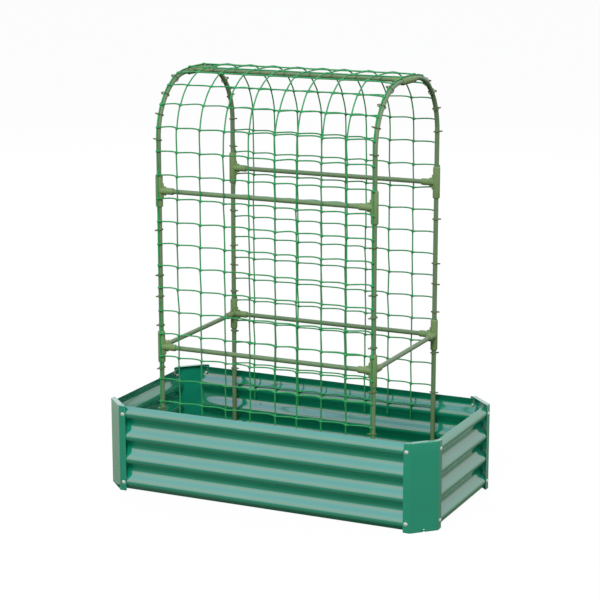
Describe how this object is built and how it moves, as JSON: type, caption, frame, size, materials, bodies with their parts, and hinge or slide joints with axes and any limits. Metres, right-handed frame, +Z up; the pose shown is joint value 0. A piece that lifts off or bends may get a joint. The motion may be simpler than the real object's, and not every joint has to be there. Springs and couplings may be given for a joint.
{
  "type": "planter with trellis",
  "caption": "Raised planting bed of corrugated panels and folded corner brackets with an arched tube trellis tunnel and climbing net.",
  "frame": {"origin": "on the ground under the middle of the bed", "axes": "+Z up, +X along the long side of the bed, the front of the bed faces -Y"},
  "size_m": [1.2114, 0.6254, 1.428],
  "materials": {
    "panel_paint": "glossy green paint on corrugated steel",
    "bracket_paint": "satin green paint on folded steel",
    "zinc_plate": "zinc plated",
    "coated_tube": "olive green plastic coating on steel tube",
    "joint_plastic": "moulded, light olive green",
    "net_plastic": "knotted bright green cord"
  },
  "bodies": {
    "root": {"panel_front": "panel_paint", "panel_back": "panel_paint", "panel_right": "panel_paint", "panel_left": "panel_paint", "bracket_front_right": "bracket_paint", "bracket_back_right": "bracket_paint", "bracket_back_left": "bracket_paint", "bracket_front_left": "bracket_paint", "screw_front_right_long_lower": "zinc_plate", "screw_front_right_short_lower": "zinc_plate", "screw_front_right_long_upper": "zinc_plate", "screw_front_right_short_upper": "zinc_plate", "screw_back_right_long_lower": "zinc_plate", "screw_back_right_short_lower": "zinc_plate", "screw_back_right_long_upper": "zinc_plate", "screw_back_right_short_upper": "zinc_plate", "screw_back_left_long_lower": "zinc_plate", "screw_back_left_short_lower": "zinc_plate", "screw_back_left_long_upper": "zinc_plate", "screw_back_left_short_upper": "zinc_plate", "screw_front_left_long_lower": "zinc_plate", "screw_front_left_short_lower": "zinc_plate", "screw_front_left_long_upper": "zinc_plate", "screw_front_left_short_upper": "zinc_plate", "leg_front_right": "coated_tube", "leg_back_right": "coated_tube", "leg_back_left": "coated_tube", "leg_front_left": "coated_tube", "post_front_right": "coated_tube", "post_back_right": "coated_tube", "post_back_left": "coated_tube", "post_front_left": "coated_tube", "lower_bar_front": "coated_tube", "upper_bar_front": "coated_tube", "lower_bar_back": "coated_tube", "upper_bar_back": "coated_tube", "end_bar_left": "coated_tube", "end_bar_right": "coated_tube", "ridge_bar": "coated_tube", "hoop_tube_front_right": "coated_tube", "hoop_tube_back_right": "coated_tube", "hoop_tube_back_left": "coated_tube", "hoop_tube_front_left": "coated_tube", "corner_joint_front_right": "joint_plastic", "corner_joint_back_right": "joint_plastic", "corner_joint_back_left": "joint_plastic", "corner_joint_front_left": "joint_plastic", "tee_joint_front_right": "joint_plastic", "tee_joint_back_right": "joint_plastic", "tee_joint_back_left": "joint_plastic", "tee_joint_front_left": "joint_plastic", "ridge_joint_left": "joint_plastic", "ridge_joint_right": "joint_plastic", "climbing_net": "net_plastic"}
  },
  "joints": []
}
